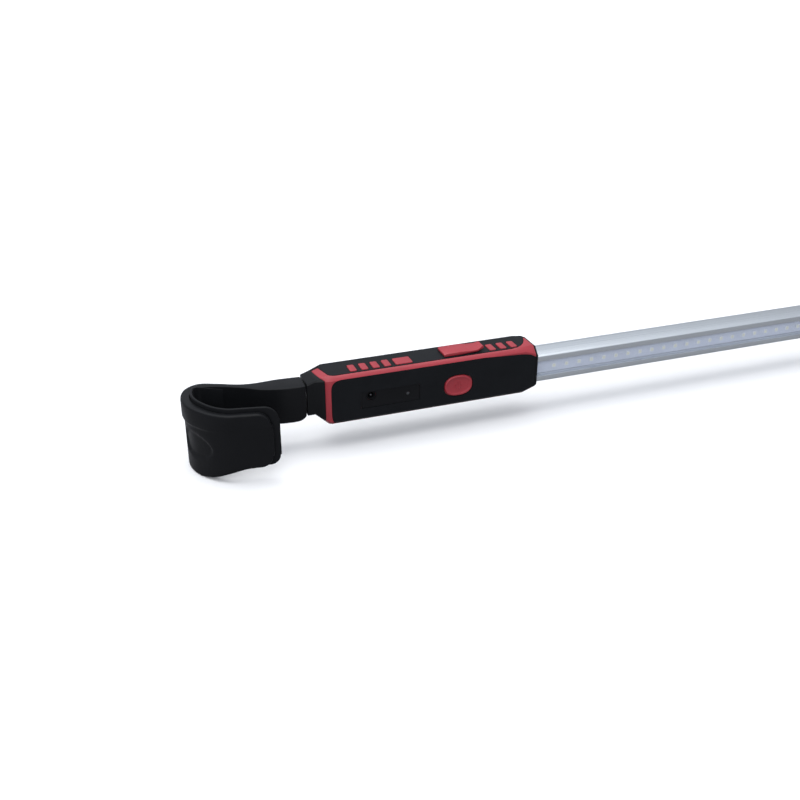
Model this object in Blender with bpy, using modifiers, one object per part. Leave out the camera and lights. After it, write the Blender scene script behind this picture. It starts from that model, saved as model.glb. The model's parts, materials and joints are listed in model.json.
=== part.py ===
"""Cordless under-bonnet work light.

A battery handle and a shorter far end housing sit on an aluminium light bar. A lined
hook swivels on a telescopic rod at each end. Metres, +X along the bar away from the
handle, -Y the lit front, +Z up. The lowest point of the hooks is at z = 0.
"""

import math

import bmesh
import bpy
from mathutils import Matrix, Vector

# ---------------------------------------------------------------- driving dimensions
GAP = 0.0003              # between pieces that touch
HANDLE_LENGTH = 0.197     # outer face of the collar to the light bar's end of the handle
END_LENGTH = 0.062        # the same on the far end housing
LED_COUNT = 56
LED_PITCH = 0.012
FIRST_LED = 0.0188        # from the housing's end face to the first LED
ROD_RADIUS = 0.004
ROD_Z = 0.001             # height of both rods over the handle's centre line

HALF_DEPTH = 0.0154       # of the housings
HALF_HEIGHT = 0.0211
EDGE = 0.0035             # chamfer along the housings' four long edges
BROW_EDGE = 0.0065        # what the top front chamfer grows to at the light bar
PANEL = 0.0015            # thickness of the soft grip panels
PANEL_START = 0.010       # all panels begin further in than this
WALL = 0.0034             # outer surface to the cavity
BOTTOM_MARGIN = 0.0012    # red line left between the bottom panel and the chamfers

TUBE_Z = -0.002           # centre of the light bar's section
TUBE_HALF_DEPTH = 0.0117
TUBE_HALF_HEIGHT = 0.0116
TUBE_INSERT = 0.028       # how far the bar reaches into each housing
LENS_Z = TUBE_Z           # middle of the lens channel

COLLAR_SEAM = 0.0134      # where the black collar meets the red casing
NOSE_TOP = 0.0158         # top of the collar's outer face, a little over the hook's
TONGUE_Z = 0.0093         # underside of the casing's tongue that laps over the collar
BEZEL = 0.0018            # black ring at the light bar's end of each housing
SPLIT_Y = 0.007           # parting plane: a deep red front half, a shallow black rear one

HOOK_REACH = 0.0962       # collar face to the outermost point of a hook
HOOK_TOP = 0.0144
HOOK_FLOOR = -0.043       # underside of the bend, which the light stands on
LINER_THICKNESS = 0.0019
BACK_REACH = 0.0241       # rearmost and foremost points of a hook, from the bar's axis
FRONT_REACH = 0.0467

# ---------------------------------------------------------------- derived places
LIT_LENGTH = 2 * FIRST_LED + (LED_COUNT - 1) * LED_PITCH
TOTAL = 2 * HOOK_REACH + HANDLE_LENGTH + LIT_LENGTH + END_LENGTH
AXIS_Y = (FRONT_REACH - BACK_REACH) / 2
AXIS_Z = -HOOK_FLOOR
LEFT_FACE = -TOTAL / 2 + HOOK_REACH
RIGHT_FACE = TOTAL / 2 - HOOK_REACH
TUBE_LEFT = LEFT_FACE + HANDLE_LENGTH
TUBE_RIGHT = RIGHT_FACE - END_LENGTH

# places on the handle, measured from its collar face
BAR_WIDTH, BAR_PITCH = 0.0056, 0.0095
LONG_BAR = (0.0735, 0.0142)
BAR_ROWS = {
    "left": {"handle_bars_outer": [(0.0355 + i * BAR_PITCH, BAR_WIDTH) for i in range(4)] + [LONG_BAR],
             "handle_bars_inner": [(0.155 + i * BAR_PITCH, BAR_WIDTH) for i in range(3)]},
    "right": {"end_bars": [(0.0215 + i * BAR_PITCH, BAR_WIDTH) for i in range(3)]},
}
BAR_BACK, BAR_FRONT = 0.0016, -0.0099
BAR_STRIP = 0.0005        # thickness of the strip that joins a row of bars
BUTTON_X, BUTTON_Z = 0.1253, -0.003
BUTTON_HALF_LENGTH, BUTTON_HALF_HEIGHT = 0.012, 0.0088
PORT_LEFT, PORT_RIGHT, PORT_LOW, PORT_HIGH = 0.0423, 0.0915, -0.010, 0.0038
JACK_X, JACK_Z = 0.0506, 0.0002
CHARGE_LIGHT_X, CHARGE_LIGHT_Z = 0.0815, -0.0029
LEVER_LEFT, LEVER_RIGHT = 0.115, 0.1508
LEVER_FRONT, LEVER_BACK = -0.010, 0.006
SPRING_LEFT, SPRING_RIGHT = 0.1370, 0.1460
SPRING_FRONT, SPRING_BACK = -0.0044, 0.0004
SPRING_ROOF, SPRING_LEAF = 0.0224, 0.0002
PIVOT_X, PIVOT_Z = 0.128, 0.0158
SHOE_X = 0.116
SCREW_Z = 0.0130
SCREW_SHANK, SCREW_HEAD = 0.0015, 0.0027          # radii
SHANK_WAY, HEAD_WAY = 0.0018, 0.0031
BAR_SCREW_INSET = 0.014   # of the screw that holds the light bar, from the housing's end
HEAD_SEAT = 0.0107        # where the screws' heads rest
BEYOND = 0.03             # a reach that clears every surface of the housings
HANDLE_SCREWS = (0.029, 0.162)
END_SCREWS = (0.0265,)


# ---------------------------------------------------------------- scene and materials
for old in list(bpy.data.objects):
    bpy.data.objects.remove(old, do_unlink=True)

PARTS = bpy.data.collections.new("work_light")
CUTTERS = bpy.data.collections.new("cutters")
for collection in (PARTS, CUTTERS):
    bpy.context.scene.collection.children.link(collection)

BAR = bpy.data.objects.new("bar_axis", None)
BAR.location = (0, AXIS_Y, AXIS_Z)
PARTS.objects.link(BAR)


def material(name, colour, roughness, metallic=0.0):
    made = bpy.data.materials.new(name)
    made.use_nodes = True
    shader = made.node_tree.nodes["Principled BSDF"]
    shader.inputs["Base Color"].default_value = (*colour, 1)
    shader.inputs["Roughness"].default_value = roughness
    shader.inputs["Metallic"].default_value = metallic
    made.diffuse_color = (*colour, 1)
    return made


RED = material("red_plastic", (0.45, 0.032, 0.045), 0.42)
BLACK = material("black_plastic", (0.012, 0.013, 0.015), 0.45)
GRIP = material("soft_grip", (0.018, 0.019, 0.022), 0.62)
RUBBER = material("liner_rubber", (0.010, 0.010, 0.011), 0.75)
ALUMINIUM = material("anodised_aluminium", (0.72, 0.75, 0.78), 0.35, 1.0)
STEEL = material("steel", (0.55, 0.56, 0.58), 0.28, 1.0)
LENS = material("clear_lens", (0.80, 0.85, 0.92), 0.15)
BOARD_WHITE = material("white_board", (0.78, 0.80, 0.82), 0.55)
BOARD_GREEN = material("green_board", (0.02, 0.16, 0.07), 0.5)
NYLON = material("nylon", (0.62, 0.60, 0.55), 0.5)
CELL = material("cell_wrap", (0.10, 0.16, 0.30), 0.4)


# ---------------------------------------------------------------- modelling helpers
def add(name, mesh, finish, origin=(0, 0, 0), collection=PARTS):
    """An object whose mesh is written about its own origin, hung from the bar's axis."""
    mesh.transform(Matrix.Translation(-Vector(origin)))
    made = bpy.data.objects.new(name, mesh)
    made.location = origin
    made.parent = BAR
    collection.objects.link(made)
    if finish:
        mesh.materials.append(finish)
    if collection is CUTTERS:
        made.hide_render = True
        made.display_type = "WIRE"
    return made


def mesh_from(bm, name):
    bmesh.ops.recalc_face_normals(bm, faces=bm.faces)
    mesh = bpy.data.meshes.new(name)
    bm.to_mesh(mesh)
    bm.free()
    return mesh


def box_mesh(name, low, high):
    low, high = Vector(low), Vector(high)
    size = high - low
    place = Matrix.Translation((low + high) / 2) @ Matrix.Diagonal((*size, 1))
    bm = bmesh.new()
    bmesh.ops.create_cube(bm, size=1, matrix=place)
    return mesh_from(bm, name)


def rod_mesh(name, centre, radius, low, high, axis, segments=24):
    """A cylinder about an axis through centre, from low to high along it."""
    turn = {"X": Matrix.Rotation(math.pi / 2, 4, "Y"), "Y": Matrix.Rotation(math.pi / 2, 4, "X"),
            "Z": Matrix.Identity(4)}[axis]
    middle = Vector(centre)
    middle["XYZ".index(axis)] = (low + high) / 2
    bm = bmesh.new()
    bmesh.ops.create_cone(bm, cap_ends=True, segments=segments, radius1=radius, radius2=radius,
                          depth=high - low, matrix=Matrix.Translation(middle) @ turn)
    return mesh_from(bm, name)


def outline_mesh(name, points, low, high, axis):
    """A flat outline filled and extruded from low to high along axis."""
    curve = bpy.data.curves.new(name, "CURVE")
    curve.dimensions = "2D"
    curve.fill_mode = "BOTH"
    curve.extrude = (high - low) / 2
    spline = curve.splines.new("POLY")
    spline.points.add(len(points) - 1)
    for point, (a, b) in zip(spline.points, points):
        point.co = (a, b, 0, 1)
    spline.use_cyclic_u = True
    drawn = bpy.data.objects.new(name, curve)
    bpy.context.scene.collection.objects.link(drawn)
    bpy.context.view_layer.update()
    mesh = bpy.data.meshes.new_from_object(drawn.evaluated_get(bpy.context.evaluated_depsgraph_get()))
    bpy.data.objects.remove(drawn)
    mesh.transform(Matrix.Translation((0, 0, (high + low) / 2)))
    # the outline's own plane is XY: turn it to the plane across the axis
    turn = {"Z": Matrix.Identity(4),
            "Y": Matrix(((1, 0, 0, 0), (0, 0, 1, 0), (0, 1, 0, 0), (0, 0, 0, 1))),
            "X": Matrix(((0, 0, 1, 0), (1, 0, 0, 0), (0, 1, 0, 0), (0, 0, 0, 1)))}[axis]
    mesh.transform(turn)
    bm = bmesh.new()
    bm.from_mesh(mesh)
    bmesh.ops.remove_doubles(bm, verts=bm.verts, dist=0.00001)
    return mesh_from(bm, name)


def turned_mesh(name, profile, segments=24):
    """A closed (x, radius) profile turned about the X axis with a Screw modifier."""
    mesh = bpy.data.meshes.new(name)
    points = [(radius, 0, x) for x, radius in profile]
    count = len(points)
    closed = min(radius for x, radius in profile) > 0
    edges = [(i, (i + 1) % count) for i in range(count if closed else count - 1)]
    mesh.from_pydata(points, edges, [])
    spun = bpy.data.objects.new(name, mesh)
    bpy.context.scene.collection.objects.link(spun)
    screw = spun.modifiers.new("turn", "SCREW")
    screw.steps = screw.render_steps = segments
    screw.use_merge_vertices = True
    screw.merge_threshold = 0.00001
    bpy.context.view_layer.update()
    mesh = bpy.data.meshes.new_from_object(spun.evaluated_get(bpy.context.evaluated_depsgraph_get()))
    bpy.data.objects.remove(spun)
    mesh.transform(Matrix.Rotation(math.pi / 2, 4, "Y"))
    bm = bmesh.new()
    bm.from_mesh(mesh)
    bmesh.ops.remove_doubles(bm, verts=bm.verts, dist=0.00001)
    return mesh_from(bm, name)


def loft_mesh(name, rings):
    """A skin through rings of equal length, closed with a face at each end."""
    bm = bmesh.new()
    made = [[bm.verts.new(point) for point in ring] for ring in rings]
    for ring, following in zip(made, made[1:]):
        for i in range(len(ring)):
            j = (i + 1) % len(ring)
            bm.faces.new((ring[i], ring[j], following[j], following[i]))
    bm.faces.new(made[0])
    bm.faces.new(made[-1])
    return mesh_from(bm, name)


def boolean(target, cutter, operation="DIFFERENCE"):
    modifier = target.modifiers.new(cutter.name, "BOOLEAN")
    modifier.operation = operation
    modifier.solver = "EXACT"
    modifier.object = cutter
    return target


def cutter(name, mesh):
    return add(name, mesh, None, collection=CUTTERS)


def between(x, breaks):
    """Straight-line reading of a list of (x, value) breaks."""
    for (x0, v0), (x1, v1) in zip(breaks, breaks[1:]):
        if x <= x1:
            return v0 + (v1 - v0) * max(0.0, x - x0) / (x1 - x0)
    return breaks[-1][1]


def smooth_path(points, steps):
    """A Catmull-Rom curve through tuples of any length."""
    ends = [points[0]] + list(points) + [points[-1]]
    path = []
    for a, b, c, d in zip(ends, ends[1:], ends[2:], ends[3:]):
        for k in range(steps):
            t = k / steps
            path.append(tuple(
                0.5 * (2 * q + (r - p) * t + (2 * p - 5 * q + 4 * r - s) * t * t
                       + (3 * q - p - 3 * r + s) * t ** 3)
                for p, q, r, s in zip(a, b, c, d)))
    path.append(tuple(points[-1]))
    return path


def offset_outline(points, distance):
    """A convex anticlockwise outline moved outwards by distance."""
    moved = []
    count = len(points)
    for i in range(count):
        before, here, after = (Vector(points[(i + k) % count]) for k in (-1, 0, 1))
        normals = []
        for start, end in ((before, here), (here, after)):
            along = (end - start).normalized()
            normals.append(Vector((along.y, -along.x)))
        bisector = (normals[0] + normals[1]).normalized()
        moved.append(tuple(here + bisector * distance / bisector.dot(normals[0])))
    return moved


def round_outline(points, radii, steps=5):
    """The outline with each corner replaced by an arc that starts radius away from it.

    A pair of radii stands for an arc that starts and ends at unlike distances.
    """
    rounded = []
    count = len(points)
    for i, radius in enumerate(radii):
        corner = Vector(points[i])
        before, after = radius if isinstance(radius, tuple) else (radius, radius)
        if before == 0:
            rounded.append(tuple(corner))
            continue
        start = corner + (Vector(points[i - 1]) - corner).normalized() * before
        end = corner + (Vector(points[(i + 1) % count]) - corner).normalized() * after
        for k in range(steps + 1):
            t = k / steps
            rounded.append(tuple(start * (1 - t) ** 2 + corner * 2 * t * (1 - t) + end * t * t))
    return rounded


def oval(centre_x, centre_z, half_length, half_height, segments=24, squareness=2.3):
    points = []
    for i in range(segments):
        angle = 2 * math.pi * i / segments
        c, s = math.cos(angle), math.sin(angle)
        points.append((centre_x + half_length * math.copysign(abs(c) ** (2 / squareness), c),
                       centre_z + half_height * math.copysign(abs(s) ** (2 / squareness), s)))
    return points


# ---------------------------------------------------------------- the housings' form
class End:
    """One end of the light: s is the distance from its collar's outer face inwards."""

    def __init__(self, name, face, inwards, length):
        self.name = name
        self.face = face
        self.inwards = inwards
        self.length = length

    def x(self, s):
        return self.face + self.inwards * s

    def span(self, s0, s1):
        return min(self.x(s0), self.x(s1)), max(self.x(s0), self.x(s1))

    def outline(self, points):
        """An (s, z) or (s, y) outline in bar coordinates, kept anticlockwise."""
        placed = [(self.x(s), other) for s, other in points]
        return placed if self.inwards > 0 else placed[::-1]

    def half_depth(self, s):
        return between(s, [(0.006, 0.0108), (0.0175, HALF_DEPTH),
                           (self.length - 0.012, HALF_DEPTH), (self.length, 0.0146)])

    def top(self, s):
        return between(s, [(0.0, NOSE_TOP), (0.016, HALF_HEIGHT), (self.length - 0.012, HALF_HEIGHT),
                           (self.length - 0.004, 0.0203), (self.length, 0.0184)])

    def bottom(self, s):
        return between(s, [(0.006, -0.0114), (0.016, -0.0203), (0.019, -HALF_HEIGHT),
                           (self.length - 0.012, -HALF_HEIGHT), (self.length, -0.0175)])

    def ring(self, s, inset, x):
        depth = self.half_depth(s) - inset
        high, low = self.top(s) - inset, self.bottom(s) + inset
        drawn_in = inset * (2 - math.sqrt(2))
        edge = between(s, [(0.006, 0.0010), (0.016, EDGE)]) - drawn_in
        brow = between(s, [(self.length - 0.012, EDGE), (self.length, BROW_EDGE)]) - drawn_in
        brow = max(edge, brow) if s > self.length / 2 else edge
        return [(x, -depth, high - brow), (x, -depth, low + edge), (x, -depth + edge, low),
                (x, depth - edge, low), (x, depth, low + edge), (x, depth, high - edge),
                (x, depth - edge, high), (x, -depth + brow, high)]

    def form(self, name, s0, s1, inset=0.0):
        """The housing's outer form between s0 and s1, drawn in by inset."""
        breaks = (0.006, 0.016, 0.0175, 0.019, self.length - 0.012, self.length - 0.004)
        stations = [s0] + [s for s in breaks if s0 + 0.0002 < s < s1 - 0.0002] + [s1]
        return loft_mesh(name, [self.ring(s, inset, self.x(s)) for s in stations])


LEFT = End("left", LEFT_FACE, 1, HANDLE_LENGTH)
RIGHT = End("right", RIGHT_FACE, -1, END_LENGTH)
HOUSING = {"left": "handle", "right": "end"}


def front_panel_outline(end, grow=0.0):
    far = end.length - BEZEL - GAP
    points = [(0.0182, -0.023), (far, -0.023), (far, 0.0112), (far - 0.0047, 0.0140),
              (far - 0.0117, 0.0156), (max(far - 0.045, 0.030), 0.0176), (0.0182, 0.0176)]
    radii = (0.0112, 0, 0, 0.001, 0.003, 0.003, 0.0085)
    return round_outline(offset_outline(points, grow), radii)


def flat_panel_outline(end, place, grow=0.0):
    """The top or the bottom panel from above: the top one reaches onto the casing's tongue."""
    y = HALF_DEPTH - EDGE - (BOTTOM_MARGIN if place == "bottom" else 0.0)
    back = 0.0128 if place == "top" else 0.0175
    points = [(0.0175, -y), (end.length - 0.0105, -y), (end.length - 0.0025, y), (back, y)]
    radii = (0.0045, (0.0125, 0.0215), 0, 0)
    return round_outline(offset_outline(points, grow), radii, steps=5)


def panel(end, place, finish=GRIP):
    """A soft grip panel: the housing's skin inside the panel's outline."""
    name = f"{HOUSING[end.name]}_{place}_panel"
    made = add(name, end.form(name, PANEL_START, end.length), finish)
    boolean(made, cutter(f"{name}_core", end.form("core", PANEL_START - 0.001, end.length + 0.01, PANEL)))
    boolean(made, panel_prism(end, place, 0.0), "INTERSECT")
    return made


def panel_prism(end, place, grow):
    side_edge = HALF_DEPTH - EDGE + GAP - grow
    if place in ("front", "rear"):
        low, high = (-BEYOND, -side_edge) if place == "front" else (side_edge, BEYOND)
        mesh = outline_mesh("prism", end.outline(front_panel_outline(end, grow)), low, high, "Y")
    else:
        low, high = (0.010, BEYOND) if place == "top" else (-BEYOND, -0.009)
        mesh = outline_mesh("prism", end.outline(flat_panel_outline(end, place, grow)), low, high, "Z")
    return cutter(f"{end.name}_{place}_prism_{round(grow * 1e4)}", mesh)


def recess(end, place):
    """What a panel's pocket takes out of the casing: the grown outline, down to the floor."""
    name = f"{end.name}_{place}_recess"
    made = cutter(name, end.form(name, PANEL_START, end.length + 0.002, -0.002))
    floor = end.form("floor", PANEL_START - 0.001, end.length + 0.01, PANEL + GAP)
    boolean(made, cutter(f"{name}_floor", floor))
    boolean(made, panel_prism(end, place, GAP), "INTERSECT")
    return made


def screw_places(end):
    places = HANDLE_SCREWS if end is LEFT else END_SCREWS
    return [(end.x(s), z) for s in places for z in (SCREW_Z, -SCREW_Z)]


def casing_cavity(end):
    """The hollow inside both casing halves, round the screw bosses and the lever's lugs."""
    hollow = cutter(f"{end.name}_cavity", end.form("cavity", 0.0165, end.length - 0.004, WALL))
    for i, (x, z) in enumerate(screw_places(end)):
        boss = rod_mesh("boss", (x, 0, z), 0.00325, -BEYOND, BEYOND, "Y", 12)
        boolean(hollow, cutter(f"{end.name}_boss_{i}", boss))
    if end is LEFT:
        x = end.x(PIVOT_X)
        lugs = box_mesh("lugs", (x - 0.003, -BEYOND, 0.0134), (x + 0.003, BEYOND, BEYOND))
        between_lugs = box_mesh("between_lugs", (x - 0.004, -0.0024, 0.01), (x + 0.004, 0.0024, 0.0177))
        boolean(hollow, cutter("lever_lugs", lugs))
        boolean(hollow, cutter("lever_lug_gap", between_lugs), "UNION")
    return hollow


def tube_section(grow=0.0):
    y, z = TUBE_HALF_DEPTH + grow, TUBE_HALF_HEIGHT + grow
    corners = [(-y, TUBE_Z - z), (y, TUBE_Z - z), (y, TUBE_Z + z), (-y, TUBE_Z + z)]
    return round_outline(corners, (0.0012,) * 4, steps=3)


def tongue_prism(end, name, drawn_in):
    """The space of the casing's tongue, which laps over the top of the collar."""
    points = [(0.0152, -0.0152), (0.0152, 0.0143), (0.0083, 0.0105),
              (0.0083, 0.0050), (0.0095, -0.0040), (0.0108, -0.0105)]
    outline = end.outline(offset_outline(points, -drawn_in))
    return cutter(name, outline_mesh("tongue", outline, TONGUE_Z + drawn_in, BEYOND, "Z"))


def collar_room(end):
    """What a casing leaves to its collar: all before the seam, but for the tongue."""
    x0, x1 = end.span(0, COLLAR_SEAM + GAP)
    room = cutter(f"{end.name}_collar_room", box_mesh("room", (x0, -BEYOND, -BEYOND), (x1, BEYOND, BEYOND)))
    return boolean(room, tongue_prism(end, f"{end.name}_tongue", GAP))


def casing(end, half):
    """Half of a casing: a shell with panel pockets, bosses and its openings."""
    name = f"{HOUSING[end.name]}_casing_{half}"
    finish = RED if half == "front" else BLACK
    made = add(name, end.form(name, 0.0075, end.length - BEZEL - GAP), finish)
    sign = -1 if half == "front" else 1
    low, high = sorted((SPLIT_Y + sign * GAP / 2, sign * BEYOND))
    x0, x1 = end.span(0, end.length)
    half_box = box_mesh("half", (x0, low, -BEYOND), (x1, high, BEYOND))
    boolean(made, cutter(f"{name}_half", half_box), "INTERSECT")
    for shape in CASING_CUTS[end.name][half]:
        boolean(made, shape)
    return made


def casing_cuts(end):
    """Cutters for both halves of a casing, shared where they cut both."""
    x0, x1 = end.span(end.length - TUBE_INSERT - 0.001, end.length + 0.001)
    tube_way = outline_mesh("tube_way", tube_section(GAP), x0, x1, "X")
    x0, x1 = end.span(0.012, 0.018)
    bush_way = rod_mesh("bush_way", (0, 0, ROD_Z), 0.0076, x0, x1, "X", 20)
    shared = [collar_room(end), casing_cavity(end), cutter(f"{end.name}_tube_way", tube_way),
              cutter(f"{end.name}_bush_way", bush_way), recess(end, "top"), recess(end, "bottom")]
    for name, bars in BAR_ROWS[end.name].items():
        low, high = bar_strip(bars, GAP)
        x0, x1 = end.span(low[0], high[0])
        groove = box_mesh("groove", (x0, *low[1:]), (x1, high[1], high[2] + 0.002))
        shared.append(cutter(f"{name}_groove", groove))
    if end is LEFT:
        x = end.x(PIVOT_X)
        stem_way = box_mesh("stem_way", (x - 0.0055, -0.0026, 0.012), (x + 0.0045, 0.0026, 0.03))
        pin_way = rod_mesh("pin_way", (x, 0, PIVOT_Z), 0.0013, -0.008, 0.008, "Y", 16)
        shared += [cutter("lever_stem_way", stem_way), cutter("lever_pin_way", pin_way)]
    front = list(shared) + [recess(end, "front")]
    rear = list(shared) + [recess(end, "rear")]
    for i, (x, z) in enumerate(screw_places(end)):
        thread = rod_mesh("thread", (x, 0, z), SHANK_WAY, -0.0095, SPLIT_Y + 0.001, "Y", 10)
        shank = rod_mesh("shank", (x, 0, z), SHANK_WAY, SPLIT_Y - 0.001, 0.014, "Y", 10)
        head = rod_mesh("head", (x, 0, z), HEAD_WAY, HEAD_SEAT, BEYOND, "Y", 16)
        front.append(cutter(f"{end.name}_thread_{i}", thread))
        rear += [cutter(f"{end.name}_shank_{i}", shank), cutter(f"{end.name}_head_{i}", head)]
    x = end.x(end.length - BAR_SCREW_INSET)
    tube_screw = rod_mesh("tube_screw", (x, 0, TUBE_Z), SHANK_WAY, 0.010, BEYOND, "Y", 10)
    rear.append(cutter(f"{end.name}_tube_screw_way", tube_screw))
    if end is LEFT:
        front += handle_front_openings()
    return {"front": front, "rear": rear}


def button_outline(grow=0.0):
    return oval(LEFT.x(BUTTON_X), BUTTON_Z, BUTTON_HALF_LENGTH + grow, BUTTON_HALF_HEIGHT + grow)


def port_outline(grow=0.0):
    corners = [(LEFT.x(PORT_LEFT), PORT_LOW), (LEFT.x(PORT_RIGHT), PORT_LOW),
               (LEFT.x(PORT_RIGHT), PORT_HIGH), (LEFT.x(PORT_LEFT), PORT_HIGH)]
    return round_outline(offset_outline(corners, grow), (0.0015,) * 4, steps=3)


def handle_front_openings():
    """The button's hole, and the jack's and charge light's holes behind the port plate."""
    way = cutter("button_way", outline_mesh("way", button_outline(GAP), -0.02, -0.010, "Y"))
    jack = rod_mesh("jack_way", (LEFT.x(JACK_X), 0, JACK_Z), 0.0041, -0.02, -0.010, "Y", 24)
    light = rod_mesh("light_way", (LEFT.x(CHARGE_LIGHT_X), 0, CHARGE_LIGHT_Z), 0.0016, -0.02, -0.010, "Y", 16)
    return [way, cutter("jack_way", jack), cutter("light_way", light)]


# ---------------------------------------------------------------- housings
def bar_strip(bars, grow):
    """The box of the strip under a row of bars: it joins them, beneath the top panel."""
    roof = HALF_HEIGHT - PANEL - GAP
    low = (bars[0][0] - grow, BAR_FRONT - grow, roof - BAR_STRIP - grow)
    high = (bars[-1][0] + bars[-1][1] + grow, BAR_BACK + grow, roof)
    return low, high


def bar_insert(end, name, bars):
    """A red moulding whose bars show through the top panel's windows."""
    low, high = bar_strip(bars, 0.0)
    x0, x1 = end.span(low[0], high[0])
    made = add(name, box_mesh(name, (x0, *low[1:]), (x1, *high[1:])), RED)
    for i, (s, width) in enumerate(bars):
        x0, x1 = end.span(s, s + width)
        corners = [(x0, BAR_FRONT), (x1, BAR_FRONT), (x1, BAR_BACK), (x0, BAR_BACK)]
        block = outline_mesh("block", round_outline(corners, (0.0008,) * 4, steps=1),
                             HALF_HEIGHT - PANEL - 2 * GAP, HALF_HEIGHT + 0.0005, "Z")
        boolean(made, cutter(f"{name}_bar_{i}", block), "UNION")
    return made


def bar_windows(end, top_panel):
    bars = [bar for row in BAR_ROWS[end.name].values() for bar in row]
    for i, (s, width) in enumerate(bars):
        x0, x1 = end.span(s - GAP, s + width + GAP)
        window = box_mesh("window", (x0, BAR_FRONT - GAP, 0.015), (x1, BAR_BACK + GAP, 0.03))
        boolean(top_panel, cutter(f"{end.name}_bar_window_{i}", window))


def housing(end):
    """Casing halves, grip panels, bars, collar, bush, bezel and screws of one end."""
    for half in ("front", "rear"):
        casing(end, half)
    for place in ("front", "rear", "top", "bottom"):
        made = panel(end, place)
        if place == "top":
            bar_windows(end, made)
            if end is LEFT:
                x = end.x(PIVOT_X)
                slot = box_mesh("slot", (x - 0.0055, -0.0029, 0.01), (x + 0.0048, 0.0029, 0.03))
                boolean(made, cutter("lever_slot", slot))
        if place == "front" and end is LEFT:
            way = outline_mesh("way", button_outline(3 * GAP), -0.02, -0.010, "Y")
            boolean(made, cutter("button_panel_way", way))
            window = outline_mesh("window", port_outline(GAP), -0.02, -0.010, "Y")
            boolean(made, cutter("port_window", window))
        if place == "rear":
            for i, (x, z) in enumerate(screw_places(end)):
                hole = rod_mesh("hole", (x, 0, z), HEAD_WAY + GAP, 0.010, BEYOND, "Y", 16)
                boolean(made, cutter(f"{end.name}_panel_hole_{i}", hole))
            x = end.x(end.length - BAR_SCREW_INSET)
            hole = rod_mesh("hole", (x, 0, TUBE_Z), HEAD_WAY + GAP, 0.010, BEYOND, "Y", 16)
            boolean(made, cutter(f"{end.name}_panel_tube_hole", hole))
    for name, bars in BAR_ROWS[end.name].items():
        bar_insert(end, name, bars)
    collar(end)
    bezel(end)
    screws(end)


def collar(end):
    """The black nose of the housing that the rod comes out of, and its nylon bush."""
    name = f"{end.name}_collar"
    made = add(name, end.form(name, 0.0, COLLAR_SEAM), BLACK)
    x0, x1 = end.span(-0.001, COLLAR_SEAM + 0.001)
    bore = rod_mesh("bore", (0, 0, ROD_Z), 0.0061, x0, x1, "X", 24)
    boolean(made, cutter(f"{name}_bore", bore))
    boolean(made, tongue_prism(end, f"{name}_tongue_room", 0.0))
    rounding = made.modifiers.new("rounding", "BEVEL")
    rounding.width = 0.0005
    rounding.segments = 1
    rounding.limit_method = "ANGLE"
    rounding.angle_limit = math.radians(50)
    inner, outer, flange = ROD_RADIUS + GAP, 0.0058, 0.0073
    profile = [(0.0004, inner), (0.0004, outer), (0.0138, outer), (0.0138, flange),
               (0.0153, flange), (0.0153, inner)]
    placed = [(end.x(s), radius) for s, radius in profile]
    mesh = turned_mesh("bush", placed, 24)
    mesh.transform(Matrix.Translation((0, 0, ROD_Z)))
    add(f"{end.name}_rod_bush", mesh, NYLON)


def bezel(end):
    """The black ring between a housing and the light bar."""
    name = f"{HOUSING[end.name]}_bezel"
    made = add(name, end.form(name, end.length - BEZEL, end.length), BLACK)
    x0, x1 = end.span(end.length - BEZEL - 0.001, end.length + 0.001)
    boolean(made, cutter(f"{name}_way", outline_mesh("way", tube_section(GAP), x0, x1, "X")))
    return made


def screws(end):
    """Pan head screws from the rear: those that join the halves, and the bar's own."""
    prefix = HOUSING[end.name]
    for i, (x, z) in enumerate(screw_places(end), 1):
        add(f"{prefix}_screw_{i}", CASING_SCREW.copy(), STEEL).location = (x, HEAD_SEAT + 0.0004, z)
    place = (end.x(end.length - BAR_SCREW_INSET), 0.0136, TUBE_Z)
    add(f"{prefix}_bar_screw", BAR_SCREW.copy(), STEEL).location = place


def screw_mesh(length):
    """A turned screw along Y from under its head: a shank, and a head with a socket."""
    profile = [(-length, 0.0), (-length, SCREW_SHANK), (0.0, SCREW_SHANK), (0.0, SCREW_HEAD),
               (0.0013, SCREW_HEAD), (0.0013, 0.0012), (0.0006, 0.0012), (0.0006, 0.0)]
    mesh = turned_mesh("screw", profile, 10)
    mesh.transform(Matrix.Rotation(math.pi / 2, 4, "Z"))
    return mesh


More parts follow.
